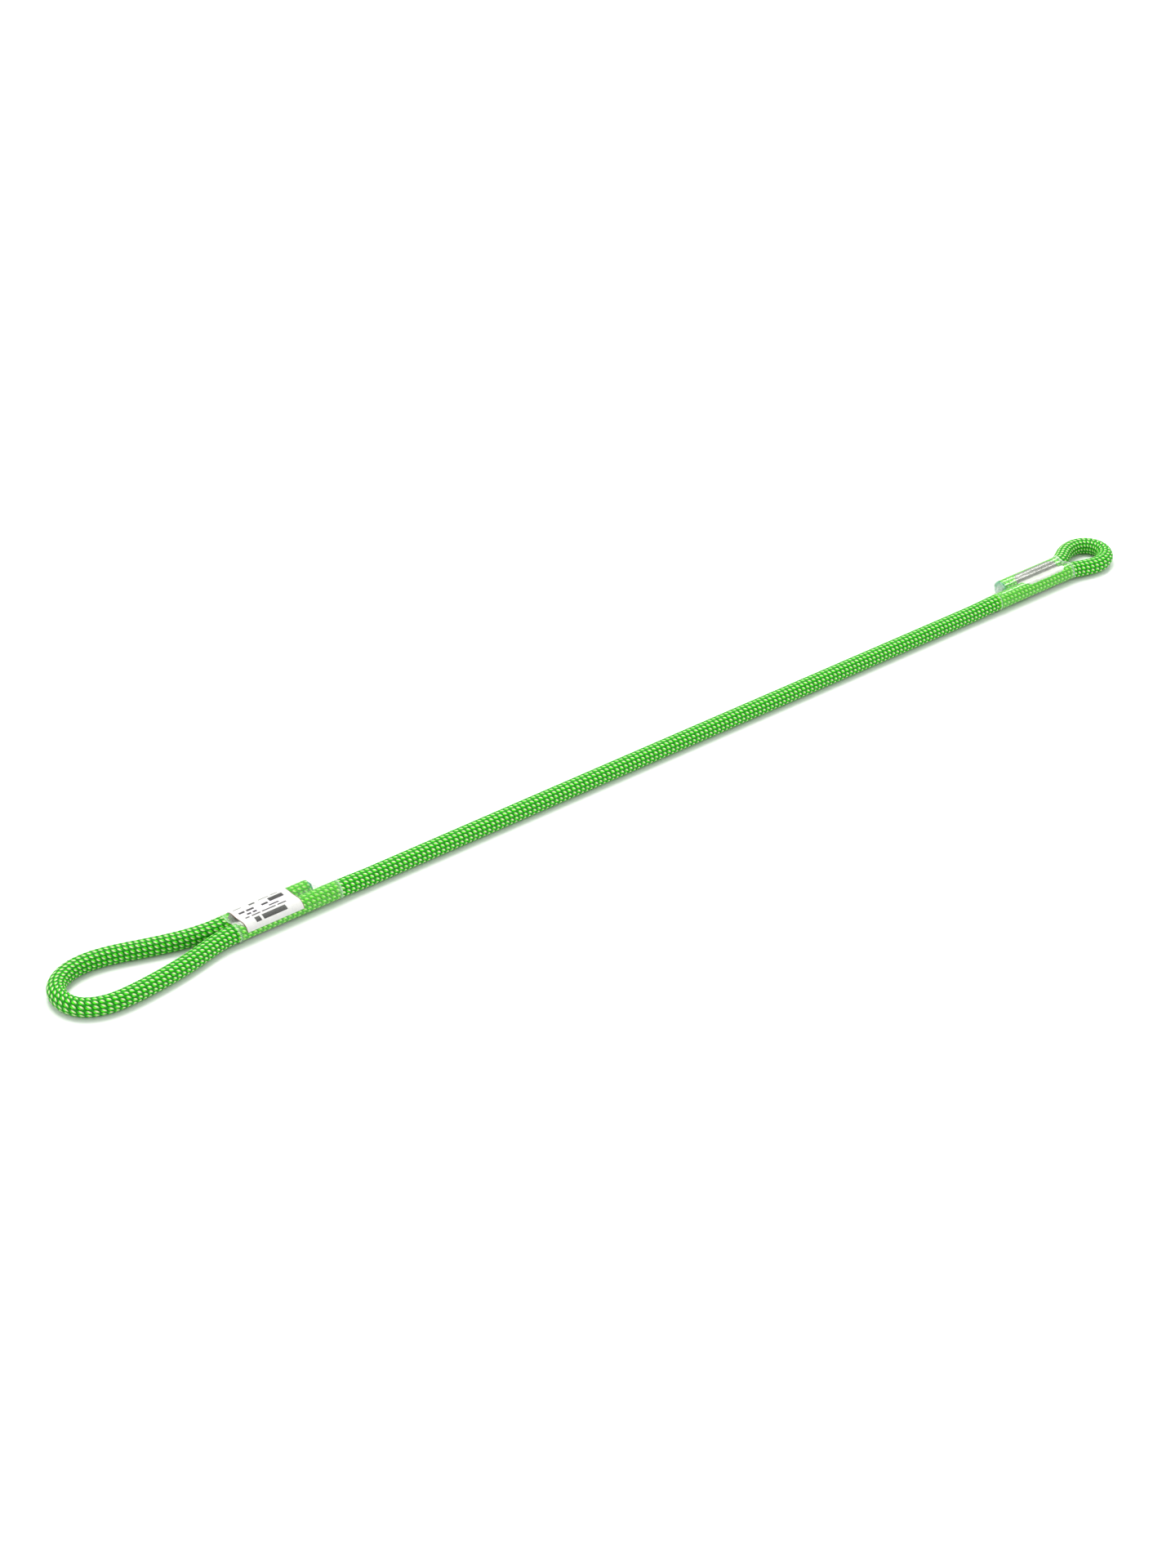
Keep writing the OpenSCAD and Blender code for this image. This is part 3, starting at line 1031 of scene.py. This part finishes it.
class LANYARD_OT_sleeves(Operator):
    """Makes the clear sleeves that are shrunk over the sewn legs"""

    bl_idname = "lanyard.sleeves"
    bl_label = "Sleeves"

    def execute(self, context):
        sleeve = settings("sleeve")
        film = film_material(sleeve)
        large = self.sleeve(
            "large_eye_sleeve", LARGE_SLEEVE_X, LARGE_CAP_X, sleeve,
            hug=1.8, flare=0.25 * MM, seed=11,
        )
        small = self.sleeve(
            "small_eye_sleeve", SMALL_SLEEVE_X[::-1], SMALL_CAP_X, sleeve,
            hug=3.6, flare=1.2 * MM, seed=12,
        )
        finish_piece(large, LARGE_END, ["near_sleeve"], "clear_sleeve", film)
        finish_piece(small, SMALL_END, ["far_sleeve"], "clear_sleeve", film)
        return {"FINISHED"}

    @staticmethod
    def section(outer_y, tail_radius, radius, arc_points, bridge_points):
        """The film's outline round the standing leg and the tail side, and the way it faces."""
        centre = outer_y - tail_radius
        gap = centre - STANDING_Y
        lean = math.acos(np.clip((radius - tail_radius) / gap, -1, 1)) if gap > 0 else 0.0
        tail, rope = (
            np.stack([np.cos(turns), np.sin(turns)], -1)
            for turns in (
                np.linspace(-lean, lean, arc_points),
                np.linspace(lean, 2 * math.pi - lean, arc_points),
            )
        )
        tail_side = tail * tail_radius + [centre, 0]
        rope_side = rope * radius + [STANDING_Y, 0]
        share = np.linspace(0, 1, bridge_points + 2)[1:-1, None]
        over = tail_side[-1] + share * (rope_side[0] - tail_side[-1])
        under = rope_side[-1] + share * (tail_side[0] - rope_side[-1])
        across = np.linalg.norm(rope_side[0] - tail_side[-1])
        sag = 0.10 * across * np.sin(math.pi * share) ** 2
        facing_over = np.repeat(tail[-1:], bridge_points, 0)
        facing_under = np.repeat(rope[-1:], bridge_points, 0)
        over, under = over - sag * facing_over, under - sag * facing_under
        points = np.concatenate([tail_side, over, rope_side, under])
        facing = np.concatenate([tail, facing_over, rope, facing_under])
        return points, facing

    def sleeve(self, name, ends, tail_x, sleeve, hug, flare, seed):
        """A closed shell from its mouth at the eye to its end on the rope.

        hug is how fast the film closes down past the tail end, and flare how wide it ends.
        """
        mouth, end = ends
        way = math.copysign(1, end - mouth)
        rows, arc_points, bridge_points = 150, 44, 14
        mouth_flare, squeezed, lowest = 0.35 * MM, 0.80, 0.02 * MM
        random = np.random.default_rng(seed)
        inner = ROPE_RADIUS + sleeve.fit
        turns = around(2 * (arc_points + bridge_points))
        wavy = 0.35 * MM * np.sin(2 * turns + seed) + 0.2 * MM * np.sin(5 * turns)
        waves = [
            (
                random.uniform(0.2, 1.0), random.integers(2, 9),
                random.uniform(120, 420), random.uniform(0, 6.28),
            )
            for _ in range(10)
        ]
        rings, facings, shifts, milky = [], [], [], []
        for x in np.linspace(mouth, end, rows):
            past, from_mouth, from_end = way * (x - tail_x), way * (x - mouth), way * (end - x)
            open_share = 1 - np.clip(past / sleeve.web, 0, 1)
            outer_y = STANDING_Y + inner + (TAIL_Y - STANDING_Y) * open_share**hug
            tail_radius = inner * (1 - squeezed * smooth_step(past, -0.6 * MM, 3.2 * MM))
            points, facing = self.section(outer_y, tail_radius, inner, arc_points, bridge_points)
            widened = mouth_flare * fade(from_mouth, 1.5 * MM) + flare * fade(from_end, 1.6 * MM)
            ripple = sum(size * np.sin(n * turns + k * x + phase) for size, n, k, phase in waves)
            ripple = np.clip(0.5 + 0.1 * ripple, 0, 1) * sleeve.wrinkle
            crest = 0.5 + 0.5 * facing[:, 1]
            edge = fade(from_mouth, 3 * MM) - fade(from_end, 3 * MM)
            rings.append(np.column_stack([x + way * edge * wavy, points]))
            facings.append(facing)
            shifts.append(ripple + widened * (0.25 + 0.75 * crest))
            rim = fade(from_mouth, 1.0 * MM) + fade(from_end, 1.0 * MM)
            free = smooth_step(points[:, 0], STANDING_Y + 0.75 * inner, STANDING_Y + 1.2 * inner)
            web = smooth_step(past, -0.5 * MM, 1.5 * MM) * free
            milky.append(np.clip(np.maximum(rim, 0.8 * web), 0, 1))
        rings, facings, shifts = np.array(rings), np.array(facings), np.array(shifts)[..., None]
        rings[..., 2] += AXIS_Z
        facings = np.concatenate([np.zeros_like(shifts), facings], -1)
        inside = rings + shifts * facings
        outside = inside + sleeve.wall * facings
        outside[..., 2] = np.maximum(outside[..., 2], lowest)
        inside[..., 2] = np.maximum(inside[..., 2], lowest + sleeve.wall * 0.8)
        # outside from the mouth to the end, then back inside, joined at both rims
        loop = np.concatenate([outside, inside[::-1]])
        count, columns = loop.shape[:2]
        quads = wrapped_quads(count + 1, columns) % (count * columns)
        if way < 0:
            quads = quads[:, ::-1]
        made = mesh_object(name, loop.reshape(-1, 3), quads)
        paint(made, "milky", np.concatenate([milky, milky[::-1]]))
        return made


OPERATORS = [
    LANYARD_OT_stage,
    LANYARD_OT_large_eye_rope,
    LANYARD_OT_free_rope,
    LANYARD_OT_small_eye_rope,
    LANYARD_OT_melted_ends,
    LANYARD_OT_stitching,
    LANYARD_OT_label,
    LANYARD_OT_sleeves,
]


class LANYARD_PT_panel(Panel):
    """Lists the lanyard's pieces"""

    bl_idname = "LANYARD_PT_panel"
    bl_label = "Sewn Rope Lanyard"
    bl_space_type = "VIEW_3D"
    bl_region_type = "UI"
    bl_category = "Lanyard"

    def draw(self, context):
        for operator in OPERATORS:
            self.layout.operator(operator.bl_idname)


def register():
    for group in PROPERTY_GROUPS.values():
        bpy.utils.register_class(group)
    for kind, group in PROPERTY_GROUPS.items():
        setattr(bpy.types.Scene, "lanyard_" + kind, PointerProperty(type=group))
    for operator in OPERATORS:
        bpy.utils.register_class(operator)
    bpy.utils.register_class(LANYARD_PT_panel)


def unregister():
    bpy.utils.unregister_class(LANYARD_PT_panel)
    for operator in reversed(OPERATORS):
        bpy.utils.unregister_class(operator)
    for kind in PROPERTY_GROUPS:
        delattr(bpy.types.Scene, "lanyard_" + kind)
    for group in reversed(PROPERTY_GROUPS.values()):
        bpy.utils.unregister_class(group)


def main():
    register()
    for operator in OPERATORS:
        group, name = operator.bl_idname.split(".")
        getattr(getattr(bpy.ops, group), name)()


if __name__ == "__main__":
    main()
